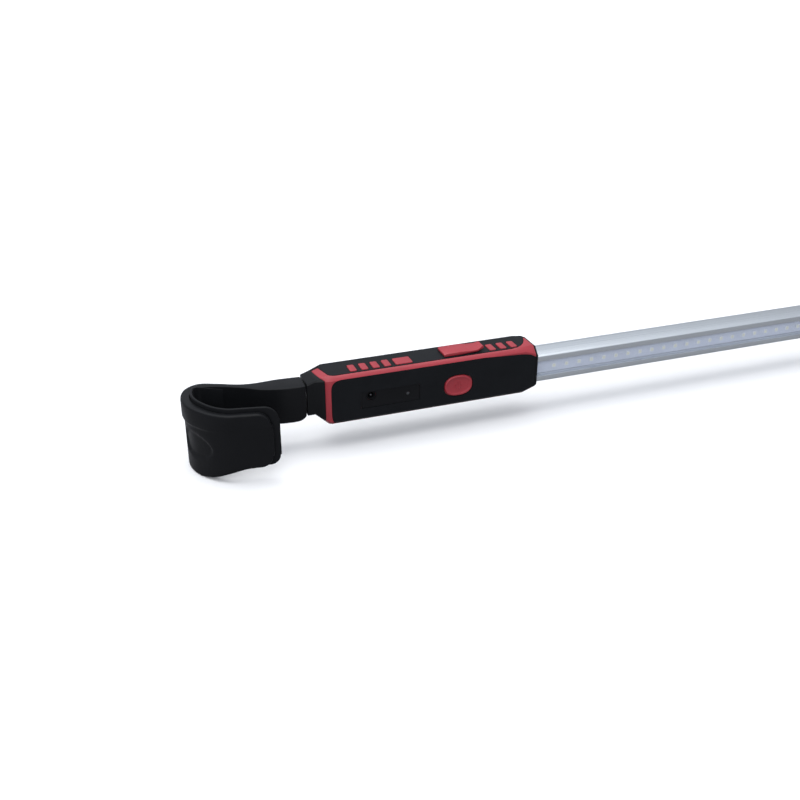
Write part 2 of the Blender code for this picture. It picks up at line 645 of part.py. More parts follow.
# ---------------------------------------------------------------- rods and hooks
# Each hook station: outer (u, y), inner (u, y), top, bottom, belt and the belt's lower
# edge, with u outwards from the collar face. Read from the neck round to the tongue.
HOOK_STATIONS = [
    (0.0010, 0.0098, 0.0010, -0.0096, HOOK_TOP, -0.0122, 0.0, -0.010),
    (0.0060, 0.0104, 0.0060, -0.0100, HOOK_TOP, -0.0152, 0.0, -0.012),
    (0.0200, 0.0112, 0.0180, -0.0086, HOOK_TOP, -0.0160, 0.0, -0.012),
    (0.0380, 0.0104, 0.0350, -0.0034, HOOK_TOP, -0.0165, 0.0002, -0.012),
    (0.0500, 0.0119, 0.0470, 0.0043, HOOK_TOP, -0.0190, 0.0010, -0.0105),
    (0.0640, 0.0177, 0.0618, 0.0117, HOOK_TOP, -0.0270, 0.0018, -0.0075),
    (0.0780, 0.0218, 0.0764, 0.0162, HOOK_TOP, -0.0375, 0.0023, -0.0045),
    (0.0885, 0.0160, 0.0845, 0.0125, HOOK_TOP, HOOK_FLOOR, 0.0023, -0.0020),
    (0.0932, 0.0040, 0.0882, 0.0030, HOOK_TOP, HOOK_FLOOR, 0.0023, -0.0010),
    (0.0925, -0.0080, 0.0877, -0.0066, HOOK_TOP, HOOK_FLOOR, 0.0020, -0.0005),
    (0.0882, -0.0190, 0.0840, -0.0163, HOOK_TOP, HOOK_FLOOR, 0.0014, 0.0000),
    (0.0800, -0.0308, 0.0768, -0.0270, HOOK_TOP, -0.0400, 0.0007, 0.0010),
    (0.0690, -0.0388, 0.0670, -0.0342, HOOK_TOP, -0.0350, 0.0002, 0.0020),
    (0.0570, -0.0418, 0.0562, -0.0368, HOOK_TOP, -0.0318, 0.0, 0.0030),
    (0.0470, -0.0438, 0.0463, -0.0388, HOOK_TOP, -0.0310, 0.0, 0.0030),
]
HOOK_STEPS = 2            # sections between one station and the next
LINER_START = 5           # the station on the arm's inner face where the liner begins
LINER_TAPER = 3           # sections over which it reaches its full thickness
# the tongue's end, rounded above and below
TONGUE_END = [
    (0.0425, 0.0450, 0.0418, 0.0400, 0.0136, -0.0300),
    (0.0390, 0.0458, 0.0383, 0.0408, 0.0112, -0.0285),
    (0.0368, 0.0463, 0.0361, 0.0413, 0.0078, -0.0250),
    (0.0358, 0.0466, 0.0351, 0.0416, 0.0035, -0.0200),
]


def hook_stations():
    stations = smooth_path(HOOK_STATIONS, HOOK_STEPS)
    for outer_u, outer_y, inner_u, inner_y, top, bottom in TONGUE_END:
        stations.append((outer_u, -outer_y, inner_u, -inner_y, top, bottom, 0.0, 0.002))
    return stations


def hook_ring(end, station):
    """One section of the hook: a wall with broken edges and a raised belt outside."""
    outer_u, outer_y, inner_u, inner_y, top, bottom, belt, belt_low = station
    outer, inner = Vector((-outer_u, outer_y)), Vector((-inner_u, inner_y))
    across = (outer - inner).normalized()
    edge = 0.0008
    raised = outer + across * belt
    bottom = max(bottom, HOOK_FLOOR)
    belt_low = max(belt_low, bottom + 0.003)
    corners = [(raised - across * edge, top), (raised, top - edge), (raised, belt_low),
               (outer, belt_low - 0.0015), (outer, bottom + edge), (outer - across * edge, bottom),
               (inner + across * edge, bottom), (inner, bottom + edge), (inner, top - edge),
               (inner + across * edge, top)]
    return [(end.x(place.x), place.y, z) for place, z in corners]


def liner_ring(end, station, thickness):
    """One section of the liner, which backs on the inner face and stands proud at the top."""
    outer_u, outer_y, inner_u, inner_y, top, bottom = station[:6]
    inner, outer = Vector((-inner_u, inner_y)), Vector((-outer_u, outer_y))
    across = (outer - inner).normalized()
    back = inner - across * GAP
    face = back - across * thickness
    edge = 0.35 * thickness
    low, high = max(bottom + 0.0012, HOOK_FLOOR + 0.0016), top + 0.0032
    corners = [(back - across * edge, high), (back, high - edge), (back, low + edge),
               (back - across * edge, low), (face + across * edge, low), (face, low + edge),
               (face, high - edge), (face + across * edge, high)]
    return [(end.x(place.x), place.y, z) for place, z in corners]


def liner_rings(end):
    """The hook's sections from the arm's inner face on, then past the tongue's end."""
    stations = smooth_path(HOOK_STATIONS, HOOK_STEPS)[LINER_START * HOOK_STEPS:]
    beyond = [(0.0400, 0.0455, 0.0394, 0.0404, HOOK_TOP - 0.0003, -0.0315),
              (0.0355, 0.0464, 0.0349, 0.0414, 0.0125, -0.0312),
              (0.0320, 0.0471, 0.0314, 0.0421, 0.0090, -0.0290),
              (0.0303, 0.0475, 0.0297, 0.0425, 0.0045, -0.0245)]
    for outer_u, outer_y, inner_u, inner_y, top, bottom in beyond:
        stations.append((outer_u, -outer_y, inner_u, -inner_y, top, bottom))
    thin = [(0, 0.0007), (LINER_TAPER, LINER_THICKNESS)]
    rings = []
    for i, (outer_u, outer_y, inner_u, inner_y, top, bottom, *belt) in enumerate(stations):
        lip = between(i, [(0, -0.0008), (LINER_TAPER, 0.0)])
        station = (outer_u, outer_y, inner_u, inner_y, top + lip, bottom - lip)
        rings.append(liner_ring(end, station, between(i, thin)))
    return rings


def hook(end):
    """The hook moulding with its rod bore, its liner and the screw that retains it."""
    axis = (end.x(-0.010), 0, ROD_Z)
    name = f"{end.name}_hook_arm"
    made = add(name, loft_mesh(name, [hook_ring(end, s) for s in hook_stations()]), BLACK, axis)
    x0, x1 = end.span(-0.0215, 0.001)
    bore = rod_mesh("bore", (0, 0, ROD_Z), ROD_RADIUS + GAP, x0, x1, "X", 16)
    boolean(made, cutter(f"{name}_bore", bore))
    screw_x = end.x(-0.012)
    way = rod_mesh("way", (screw_x, 0, 0), 0.0015 + GAP, -0.02, ROD_Z, "Z", 12)
    boolean(made, cutter(f"{name}_screw_way", way))
    add(f"{end.name}_hook_liner", loft_mesh("liner", liner_rings(end)), RUBBER, axis)
    shank = rod_mesh("grub", (screw_x, 0, 0), 0.0015, -0.0140, ROD_Z - 0.0033, "Z", 12)
    add(f"{end.name}_hook_screw", shank, STEEL, axis)


ROD_INNER_END = 0.379     # of the rod, from the collar face, with the hook pushed in


def rod(end):
    """The hollow steel rod, grooved for its hook's screw and ring, with its stop."""
    r, groove = ROD_RADIUS, 0.003
    profile = [(-0.0200, 0.0), (-0.0200, r - 0.0006), (-0.0194, r), (-0.0180, r), (-0.0180, groove),
               (-0.0160, groove), (-0.0160, r), (-0.0139, r), (-0.0139, groove), (-0.0101, groove),
               (-0.0101, r), (ROD_INNER_END, r), (ROD_INNER_END, 0.0024), (-0.0060, 0.0024),
               (-0.0060, 0.0)]
    axis = (end.x(0), 0, ROD_Z)
    mesh = turned_mesh("rod", [(end.x(s), radius) for s, radius in profile], 16)
    mesh.transform(Matrix.Translation((0, 0, ROD_Z)))
    add(f"{end.name}_rod", mesh, STEEL, axis)
    rings = {"swivel_ring": (-0.0177, -0.0163, groove + GAP, r + 0.00005, RUBBER),
             "rod_stop": (ROD_INNER_END - 0.008, ROD_INNER_END, r + GAP, 0.0049, NYLON)}
    for name, (s0, s1, inner, outer, finish) in rings.items():
        profile = [(s0, inner), (s0, outer), (s1, outer), (s1, inner)]
        mesh = turned_mesh(name, [(end.x(s), radius) for s, radius in profile], 16)
        mesh.transform(Matrix.Translation((0, 0, ROD_Z)))
        add(f"{end.name}_{name}", mesh, finish, axis)


# ---------------------------------------------------------------- the light bar
def light_bar():
    """The extrusion with its front channel and rod chamber, and what the channel holds."""
    x0, x1 = TUBE_LEFT - TUBE_INSERT, TUBE_RIGHT + TUBE_INSERT
    bar = add("bar_extrusion", outline_mesh("bar", tube_section(), x0, x1, "X"), ALUMINIUM)
    front, web = -0.0066, -0.0054
    cuts = {"channel": ((-0.013, LENS_Z - 0.0060), (front, LENS_Z + 0.0060)),
            "lens_groove": ((-0.0112, LENS_Z - 0.0075), (-0.0094, LENS_Z + 0.0075)),
            "mouth": ((-0.013, LENS_Z - 0.0068), (-0.0109, LENS_Z + 0.0068)),
            "chamber": ((web, TUBE_Z - 0.0101), (0.0102, TUBE_Z + 0.0101))}
    for name, ((y0, z0), (y1, z1)) in cuts.items():
        shape = box_mesh(name, (x0 - 0.01, y0, z0), (x1 + 0.01, y1, z1))
        boolean(bar, cutter(f"bar_{name}", shape))
    for end in (LEFT, RIGHT):
        x = end.x(end.length - BAR_SCREW_INSET)
        hole = rod_mesh("hole", (x, 0, TUBE_Z), SHANK_WAY, 0.008, 0.013, "Y", 16)
        boolean(bar, cutter(f"bar_hole_{end.name}", hole))
    lens_low, lens_high = LENS_Z - 0.0072, LENS_Z + 0.0072
    add("lens", box_mesh("lens", (x0 + 0.002, -0.0109, lens_low), (x1 - 0.002, -0.0097, lens_high)), LENS)
    low, high = (x0 + 0.004, front - 0.0013, LENS_Z - 0.0055), (x1 - 0.004, front - GAP, LENS_Z + 0.0055)
    board = add("led_board", box_mesh("board", low, high), BOARD_WHITE)
    bm = bmesh.new()
    for i in range(LED_COUNT):
        x = TUBE_LEFT + FIRST_LED + i * LED_PITCH
        place = Matrix.Translation((x, front - 0.0018, LENS_Z)) @ Matrix.Diagonal((0.0035, 0.0014, 0.0028, 1))
        bmesh.ops.create_cube(bm, size=1, matrix=place)
    boolean(board, cutter("led_chips", mesh_from(bm, "chips")), "UNION")


# ---------------------------------------------------------------- the handle's fittings
def power_button():
    """A push button with a raised rim, held in by a flange behind the casing's wall."""
    x, z = LEFT.x(BUTTON_X), BUTTON_Z
    steps = [(-0.0109, 0.0012), (-0.0117, 0.0012), (-0.0117, 0.0), (-0.0157, 0.0),
             (-0.0163, -0.0006), (-0.0163, -0.0018), (-0.0159, -0.0022)]
    rings = []
    for y, grow in steps:
        outline = oval(x, z, BUTTON_HALF_LENGTH + grow, BUTTON_HALF_HEIGHT + grow)
        rings.append([(a, y, b) for a, b in outline])
    add("power_button", loft_mesh("button", rings), RED, (x, -0.0109, z))
    body = box_mesh("switch", (x - 0.003, -0.0092, z - 0.003), (x + 0.003, -0.0075, z + 0.003))
    plunger = rod_mesh("plunger", (x, 0, z), 0.0016, -0.0096, -0.0091, "Y", 16)
    switch = add("tact_switch", body, BLACK)
    boolean(switch, cutter("switch_plunger", plunger), "UNION")


def ports():
    """The gloss plate on the front, the charging jack in it and the charge light."""
    plate = add("port_plate", outline_mesh("plate", port_outline(), -0.0150, -0.0139, "Y"), BLACK)
    x, z = LEFT.x(JACK_X), JACK_Z
    boolean(plate, cutter("plate_jack_hole", rod_mesh("hole", (x, 0, z), 0.0041, -0.02, -0.01, "Y", 24)))
    profile = [(-0.0085, 0.0), (-0.0085, 0.0028), (-0.0147, 0.0028), (-0.0147, 0.0038),
               (-0.0078, 0.0038), (-0.0078, 0.0)]
    mesh = turned_mesh("jack", profile, 20)
    mesh.transform(Matrix.Translation((x, 0, z)) @ Matrix.Rotation(math.pi / 2, 4, "Z"))
    add("charge_jack", mesh, BLACK)
    add("jack_pin", rod_mesh("pin", (x, 0, z), 0.001, -0.0143, -0.0088, "Y", 16), STEEL)
    x, z = LEFT.x(CHARGE_LIGHT_X), CHARGE_LIGHT_Z
    boolean(plate, cutter("plate_light_hole", rod_mesh("hole", (x, 0, z), 0.0016, -0.02, -0.01, "Y", 16)))
    add("charge_light", rod_mesh("light", (x, 0, z), 0.0013, -0.0150, -0.0080, "Y", 16), LENS)


def electronics():
    """The board behind the button and jack, and the flat cell behind the rod."""
    low = (LEFT.x(0.040), -0.0072, -0.0155)
    board = add("control_board", box_mesh("board", low, (LEFT.x(0.150), -0.0056, 0.012)), BOARD_GREEN)
    high = (LEFT.x(0.156), 0.0117, 0.0130)
    pack = add("battery_pack", box_mesh("pack", (LEFT.x(0.036), 0.0056, -0.0172), high), CELL)
    for made, width in ((board, 0.0004), (pack, 0.0015)):
        rounding = made.modifiers.new("rounding", "BEVEL")
        rounding.width = width
        rounding.segments = 2


def lock_lever():
    """The thumb lever, its pin and spring, and the shoe in its fork that presses on the rod."""
    pivot = (LEFT.x(PIVOT_X), 0, PIVOT_Z)
    profile = [(LEVER_LEFT, 0.0215), (0.1290, 0.0215), (0.1500, 0.0227), (LEVER_RIGHT, 0.0240),
               (0.1498, 0.0252), (0.1486, 0.0251), (0.1460, 0.0241), (0.1420, 0.0236),
               (0.1375, 0.0235), (0.1330, 0.0238), (0.1300, 0.0240), (0.1165, 0.0237),
               (LEVER_LEFT, 0.0230)]
    outline = [(LEFT.x(s), z) for s, z in profile]
    lever = add("lock_lever", outline_mesh("lever", outline, -0.02, 0.02, "Y"), RED, pivot)
    plan = [(LEVER_LEFT - 0.001, LEVER_FRONT), (0.1440, LEVER_FRONT), (0.1520, -0.0060),
            (0.1520, 0.0020), (0.1360, LEVER_BACK), (LEVER_LEFT - 0.001, LEVER_BACK)]
    plan_mesh = outline_mesh("plan", LEFT.outline(plan), 0.0, 0.03, "Z")
    boolean(lever, cutter("lever_plan", plan_mesh), "INTERSECT")
    pocket = box_mesh("pocket", (LEFT.x(SPRING_LEFT) - 0.0007, SPRING_FRONT - GAP, 0.020),
                      (LEFT.x(SPRING_RIGHT) + 0.0007, SPRING_BACK + GAP, SPRING_ROOF + GAP))
    boolean(lever, cutter("lever_pocket", pocket))
    x = pivot[0]
    stem = [(x - 0.0018, 0.0218), (x + 0.0018, 0.0218), (x + 0.0021, 0.0142), (x - 0.0012, 0.0128),
            (LEFT.x(SHOE_X) - 0.0022, 0.0124), (LEFT.x(SHOE_X) - 0.0022, 0.0142), (x - 0.0030, 0.0150)]
    stem_mesh = outline_mesh("stem", stem[::-1], -0.0021, 0.0021, "Y")
    boolean(lever, cutter("lever_stem", stem_mesh), "UNION")
    hole = rod_mesh("hole", pivot, 0.0013, -0.004, 0.004, "Y", 16)
    boolean(lever, cutter("lever_hole", hole))
    x = LEFT.x(SHOE_X)
    fork = box_mesh("fork", (x - 0.005, -0.0010, 0.010), (x + 0.0014, 0.0010, 0.016))
    boolean(lever, cutter("lever_fork", fork))
    add("lever_pin", rod_mesh("pin", pivot, 0.001, -0.0075, 0.0075, "Y", 16), STEEL)

    shoe = add("lock_shoe", box_mesh("shoe", (x - 0.006, -0.0035, ROD_Z + ROD_RADIUS + GAP),
                                     (x + 0.006, 0.0035, 0.0085)), STEEL, pivot)
    neck = box_mesh("neck", (x - 0.001, -0.0007, 0.0080), (x + 0.001, 0.0007, 0.0150))
    head = box_mesh("head", (x - 0.0020, -0.0035, 0.0146), (x + 0.0020, 0.0035, 0.0158))
    boolean(shoe, cutter("shoe_neck", neck), "UNION")
    boolean(shoe, cutter("shoe_head", head), "UNION")

    lever_spring()


def lever_spring():
    """An arched steel leaf that stands on the top panel, in a pocket under the lever."""
    floor = HALF_HEIGHT + GAP
    middle = (SPRING_LEFT + SPRING_RIGHT) / 2
    half = (SPRING_RIGHT - SPRING_LEFT) / 2
    rise = SPRING_ROOF - floor - SPRING_LEAF
    steps = 12
    arch = []
    for i in range(steps + 1):
        t = 2 * i / steps - 1
        arch.append((LEFT.x(middle + half * t), floor + rise * math.cos(math.pi * t / 2)))
    leaf = arch + [(x, z + SPRING_LEAF) for x, z in reversed(arch)]
    add("lever_spring", outline_mesh("spring", leaf, SPRING_FRONT, SPRING_BACK, "Y"), STEEL)


# ---------------------------------------------------------------- build
CASING_CUTS = {end.name: casing_cuts(end) for end in (LEFT, RIGHT)}
CASING_SCREW, BAR_SCREW = screw_mesh(0.0196), screw_mesh(0.0041)
housing(LEFT)
housing(RIGHT)
light_bar()
power_button()
ports()
electronics()
lock_lever()
for end in (LEFT, RIGHT):
    rod(end)
    hook(end)
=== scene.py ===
"""Looks of the cordless under-bonnet work light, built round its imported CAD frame.

Metres, in the frame's own axes: +X along the bar away from the handle, -Y the lit front,
+Z up, with the hooks standing on z = 0.
"""

import json
import math

import bmesh
import bpy
from mathutils import Matrix, Vector


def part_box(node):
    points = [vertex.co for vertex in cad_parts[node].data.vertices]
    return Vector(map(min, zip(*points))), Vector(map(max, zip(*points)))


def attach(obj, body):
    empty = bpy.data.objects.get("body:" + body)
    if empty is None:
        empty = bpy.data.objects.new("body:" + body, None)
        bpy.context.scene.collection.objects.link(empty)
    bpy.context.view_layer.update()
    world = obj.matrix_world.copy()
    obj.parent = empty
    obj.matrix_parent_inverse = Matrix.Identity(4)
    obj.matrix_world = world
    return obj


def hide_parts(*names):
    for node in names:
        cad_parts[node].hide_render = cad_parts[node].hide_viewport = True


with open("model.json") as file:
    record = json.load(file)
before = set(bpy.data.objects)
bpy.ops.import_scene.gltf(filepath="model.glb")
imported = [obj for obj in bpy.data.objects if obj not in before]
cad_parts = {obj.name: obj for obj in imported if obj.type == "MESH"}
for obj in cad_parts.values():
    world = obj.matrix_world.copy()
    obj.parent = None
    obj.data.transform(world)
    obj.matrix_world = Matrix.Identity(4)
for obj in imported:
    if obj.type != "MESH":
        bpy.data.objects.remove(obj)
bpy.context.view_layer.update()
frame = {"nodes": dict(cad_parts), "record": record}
NODES = frame["nodes"]
SLOT_OF = {row["node"]: row["material_slot"] for row in frame["record"]["subparts"]}

# ---------------------------------------------------------------- places taken from the frame
def middle(node):
    low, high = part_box(node)
    return (low + high) / 2


LEFT_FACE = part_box("left_collar")[0].x
RIGHT_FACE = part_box("right_collar")[1].x
ROD_AXIS = middle("left_rod")
AXIS_Y = ROD_AXIS.y
AXIS_Z = ROD_AXIS.z - 0.001      # the rods lie 1 mm over the handle's centre line
ROD_RADIUS = (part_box("left_rod")[1].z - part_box("left_rod")[0].z) / 2
GAP = 0.0003                     # between pieces that touch


# ---------------------------------------------------------------- node helpers for materials
class Paint:
    """A Principled material under construction, with short calls for the nodes it uses."""

    def __init__(self, name, **sockets):
        self.material = bpy.data.materials.new(name)
        self.material.use_nodes = True
        self.tree = self.material.node_tree
        self.shader = self.tree.nodes["Principled BSDF"]
        for socket, value in sockets.items():
            self.shader.inputs[socket.replace("_", " ")].default_value = value
        self.place = self.add("ShaderNodeTexCoord").outputs["Object"]

    def add(self, kind, **settings):
        made = self.tree.nodes.new(kind)
        for name, value in settings.items():
            setattr(made, name, value)
        return made

    def link(self, source, target):
        self.tree.links.new(source, target)

    def stretched(self, scale):
        """Object coordinates scaled by a different amount along each axis."""
        mapping = self.add("ShaderNodeMapping")
        mapping.inputs["Scale"].default_value = scale
        self.link(self.place, mapping.inputs["Vector"])
        return mapping.outputs["Vector"]

    def noise(self, scale, detail=3.0, vector=None, roughness=0.5):
        made = self.add("ShaderNodeTexNoise")
        made.inputs["Scale"].default_value = scale
        made.inputs["Detail"].default_value = detail
        made.inputs["Roughness"].default_value = roughness
        self.link(vector or self.place, made.inputs["Vector"])
        return made.outputs["Fac"]

    def cells(self, scale):
        made = self.add("ShaderNodeTexVoronoi", feature="F1")
        made.inputs["Scale"].default_value = scale
        self.link(self.place, made.inputs["Vector"])
        return made.outputs["Distance"]

    def between(self, factor, low, high, start=0.3, end=0.7):
        """The factor's start to end mapped to low to high."""
        made = self.add("ShaderNodeMapRange")
        for name, value in (("From Min", start), ("From Max", end), ("To Min", low), ("To Max", high)):
            made.inputs[name].default_value = value
        self.link(factor, made.inputs["Value"])
        return made.outputs["Result"]

    def ramp(self, factor, *stops):
        """A colour ramp from (position, colour) stops."""
        made = self.add("ShaderNodeValToRGB")
        elements = made.color_ramp.elements
        while len(elements) < len(stops):
            elements.new(0.5)
        for element, (position, colour) in zip(elements, stops):
            element.position = position
            element.color = (*colour, 1)
        self.link(factor, made.inputs["Fac"])
        return made.outputs["Color"]

    def mix(self, factor, first, second):
        made = self.add("ShaderNodeMix", data_type="RGBA")
        self.link(factor, made.inputs["Factor"])
        for socket, value in ((made.inputs[6], first), (made.inputs[7], second)):
            if isinstance(value, tuple):
                socket.default_value = (*value, 1)
            else:
                self.link(value, socket)
        return made.outputs[2]

    def sum(self, first, second, operation="ADD"):
        made = self.add("ShaderNodeMath", operation=operation)
        for socket, value in zip(made.inputs, (first, second)):
            if isinstance(value, (int, float)):
                socket.default_value = value
            else:
                self.link(value, socket)
        return made.outputs["Value"]

    def colour(self, source):
        self.link(source, self.shader.inputs["Base Color"])

    def roughness(self, source):
        self.link(source, self.shader.inputs["Roughness"])

    def bump(self, height, distance, strength=1.0):
        made = self.add("ShaderNodeBump")
        made.inputs["Strength"].default_value = strength
        made.inputs["Distance"].default_value = distance
        self.link(height, made.inputs["Height"])
        self.link(made.outputs["Normal"], self.shader.inputs["Normal"])


def shade(colour, share):
    return tuple(channel * share for channel in colour)


# ---------------------------------------------------------------- materials
def moulded_plastic(name, colour, roughness, grain, depth, mottle=0.08, gloss=0.5):
    """Spark-eroded moulded plastic: a fine grain, faint flow marks and handling smears."""
    paint = Paint(name, Specular_IOR_Level=gloss)
    flow = paint.noise(38, 4, paint.stretched((0.5, 1.0, 1.0)))
    paint.colour(paint.ramp(flow, (0.25, shade(colour, 1 - mottle)), (0.75, shade(colour, 1 + mottle))))
    smear = paint.noise(90, 5, roughness=0.65)
    pores = paint.noise(grain, 2)
    paint.roughness(paint.sum(paint.between(smear, roughness - 0.05, roughness + 0.06),
                              paint.between(pores, -0.02, 0.03)))
    paint.bump(paint.sum(pores, paint.sum(paint.cells(grain * 0.6), 0.5, "MULTIPLY")), depth)
    return paint.material


def soft_touch(name, colour, roughness, grain, depth):
    """Rubbery overmould: matt, slightly dusty, with a pebbled grain."""
    paint = Paint(name, Specular_IOR_Level=0.10, Sheen_Weight=0.01, Sheen_Roughness=0.5)
    dust = paint.noise(55, 6, roughness=0.7)
    specks = paint.between(paint.noise(900, 2), 0.0, 1.0, 0.66, 0.74)
    worn = paint.ramp(dust, (0.3, shade(colour, 0.88)), (0.72, shade(colour, 1.22)))
    paint.colour(paint.mix(paint.sum(specks, 0.12, "MULTIPLY"), worn, shade(colour, 3.0)))
    paint.roughness(paint.between(dust, roughness - 0.06, roughness + 0.07))
    pebbles = paint.sum(paint.cells(grain), paint.noise(grain * 2.2, 2), "MULTIPLY")
    paint.bump(pebbles, depth)
    return paint.material


def anodised(name, colour, roughness):
    """Natural anodised extrusion: die lines drawn along the bar and a soft cloudiness."""
    paint = Paint(name, Metallic=1.0)
    lines = paint.noise(1.0, 3, paint.stretched((3.0, 2600.0, 2600.0)), 0.6)
    bands = paint.noise(1.0, 2, paint.stretched((1.2, 420.0, 420.0)))
    cloud = paint.noise(26, 4, paint.stretched((0.4, 1.0, 1.0)))
    tone = paint.sum(paint.sum(lines, 0.5, "MULTIPLY"), paint.sum(cloud, 0.5, "MULTIPLY"))
    paint.colour(paint.ramp(tone, (0.3, shade(colour, 0.93)), (0.7, shade(colour, 1.04))))
    paint.roughness(paint.sum(paint.between(lines, roughness - 0.05, roughness + 0.06),
                              paint.between(bands, -0.02, 0.03)))
    paint.bump(paint.sum(lines, bands), 0.000012, 0.6)
    return paint.material


def plated_steel(name, colour, roughness):
    """Bright plated steel with turning marks and faint rubbing along its length."""
    paint = Paint(name, Metallic=1.0)
    rubbed = paint.noise(1.0, 4, paint.stretched((25.0, 900.0, 900.0)), 0.6)
    patina = paint.noise(70, 5)
    paint.colour(paint.ramp(patina, (0.3, shade(colour, 0.9)), (0.7, shade(colour, 1.06))))
    paint.roughness(paint.sum(paint.between(rubbed, roughness - 0.05, roughness + 0.08),
                              paint.between(patina, -0.02, 0.03)))
    paint.bump(rubbed, 0.000008, 0.5)
    return paint.material


def clear_lens(name, colour, alpha):
    """Clear polycarbonate strip: slightly cloudy, with a faint extruded ribbing."""
    paint = Paint(name, Alpha=alpha, IOR=1.58, Specular_IOR_Level=0.5)
    cloud = paint.noise(45, 4, paint.stretched((0.3, 1.0, 1.0)))
    drawn = paint.noise(1.0, 2, paint.stretched((2.0, 900.0, 900.0)))
    paint.colour(paint.ramp(cloud, (0.3, shade(colour, 0.96)), (0.7, shade(colour, 1.03))))
    paint.roughness(paint.between(cloud, 0.10, 0.20))
    paint.bump(drawn, 0.00001, 0.4)
    return paint.material


def solder_mask(name, colour, weave):
    """Circuit board lacquer over glass cloth, with the cloth's weave just showing."""
    paint = Paint(name, Specular_IOR_Level=0.5)
    cloth = paint.sum(paint.noise(1.0, 1, paint.stretched((weave, weave * 0.2, weave))),
                      paint.noise(1.0, 1, paint.stretched((weave * 0.2, weave, weave * 0.2))), "MULTIPLY")
    stain = paint.noise(60, 4)
    paint.colour(paint.ramp(stain, (0.3, shade(colour, 0.93)), (0.7, shade(colour, 1.04))))
    paint.roughness(paint.between(stain, 0.36, 0.52))
    paint.bump(cloth, 0.00004, 0.5)
    return paint.material


def shrink_wrap(name, colour):
    """Heat-shrunk cell wrap: glossy film with small creases."""
    paint = Paint(name, Specular_IOR_Level=0.5, Coat_Weight=0.3, Coat_Roughness=0.12)
    creases = paint.noise(180, 5, paint.stretched((0.25, 1.0, 1.0)), 0.6)
    paint.colour(paint.ramp(creases, (0.3, shade(colour, 0.85)), (0.7, shade(colour, 1.1))))
    paint.roughness(paint.between(creases, 0.22, 0.38))
    paint.bump(creases, 0.0001, 0.5)
    return paint.material


def phosphor(name, colour):
    """The yellow silicone over an LED's die, cloudy with its grains."""
    paint = Paint(name, Specular_IOR_Level=0.6)
    grains = paint.noise(5200, 2)
    paint.colour(paint.ramp(grains, (0.3, shade(colour, 0.85)), (0.7, shade(colour, 1.1))))
    paint.roughness(paint.between(grains, 0.22, 0.34))
    paint.bump(grains, 0.00002, 0.5)
    return paint.material


RED = (0.34, 0.026, 0.038)
BLACK = (0.0068, 0.0072, 0.0082)
MATERIALS = {
    "red_plastic": moulded_plastic("red_moulding", RED, 0.40, 3200, 0.000035),
    "black_plastic": moulded_plastic("black_moulding", BLACK, 0.33, 2800, 0.00003, 0.2, 0.11),
    "soft_grip": soft_touch("soft_touch_grip", (0.0068, 0.0076, 0.0090), 0.46, 1500, 0.00005),
    "liner_rubber": soft_touch("liner_rubber", (0.0068, 0.0073, 0.0084), 0.40, 1900, 0.00004),
    "anodised_aluminium": anodised("anodised_aluminium_bar", (0.63, 0.665, 0.69), 0.30),
    "steel": plated_steel("plated_steel", (0.62, 0.63, 0.65), 0.24),
    "clear_lens": clear_lens("polycarbonate", (0.80, 0.87, 1.0), 0.22),
    "white_board": solder_mask("white_solder_mask", (0.66, 0.70, 0.80), 1400),
    "green_board": solder_mask("green_solder_mask", (0.02, 0.13, 0.05), 1400),
    "nylon": moulded_plastic("natural_nylon", (0.62, 0.60, 0.54), 0.42, 2000, 0.00004, 0.05),
    "cell_wrap": shrink_wrap("cell_wrap_film", (0.09, 0.16, 0.32)),
}
# finishes of single pieces, where the slot's own material isn't what the piece looks like
PHOSPHOR = phosphor("led_phosphor", (0.93, 0.90, 0.62))
LED_CASE = moulded_plastic("led_case", (0.93, 0.94, 0.92), 0.35, 2400, 0.00002, 0.04)
# the jack's centre pin: its steel is painted dark, a painted shade of the hollow it sits in, not tarnish
PIN_PAINTED_SHADE = plated_steel("pin_painted_shade", (0.10, 0.10, 0.11), 0.42)
SMOKED = moulded_plastic("smoked_light_pipe", (0.035, 0.038, 0.042), 0.22, 2600, 0.00002)
OWN_FINISH = {"charge_light": SMOKED}


# ---------------------------------------------------------------- mesh helpers
def smooth_path(points, steps):
    """A Catmull-Rom curve through tuples of any length."""
    ends = [points[0]] + list(points) + [points[-1]]
    path = []
    for a, b, c, d in zip(ends, ends[1:], ends[2:], ends[3:]):
        for k in range(steps):
            t = k / steps
            path.append(tuple(
                0.5 * (2 * q + (r - p) * t + (2 * p - 5 * q + 4 * r - s) * t * t
                       + (3 * q - p - 3 * r + s) * t ** 3)
                for p, q, r, s in zip(a, b, c, d)))
    path.append(tuple(points[-1]))
    return path


def rounded(corners, steps=4):
    """An outline whose (a, b, radius) corners are replaced by arcs of the same point count."""
    points = []
    count = len(corners)
    for i, (a, b, radius) in enumerate(corners):
        here = Vector((a, b))
        before, after = Vector(corners[i - 1][:2]), Vector(corners[(i + 1) % count][:2])
        start = here + (before - here).normalized() * radius
        end = here + (after - here).normalized() * radius
        for k in range(steps + 1):
            t = k / steps
            points.append(start * (1 - t) ** 2 + here * 2 * t * (1 - t) + end * t * t)
    return points


def skin(rings, bm=None):
    """A closed skin through rings of equal length, in a new or a given bmesh."""
    bm = bm or bmesh.new()
    made = [[bm.verts.new(point) for point in ring] for ring in rings]
    for ring, following in zip(made, made[1:]):
        for i in range(len(ring)):
            j = (i + 1) % len(ring)
            bm.faces.new((ring[i], ring[j], following[j], following[i]))
    bm.faces.new(made[0])
    bm.faces.new(made[-1])
    return bm


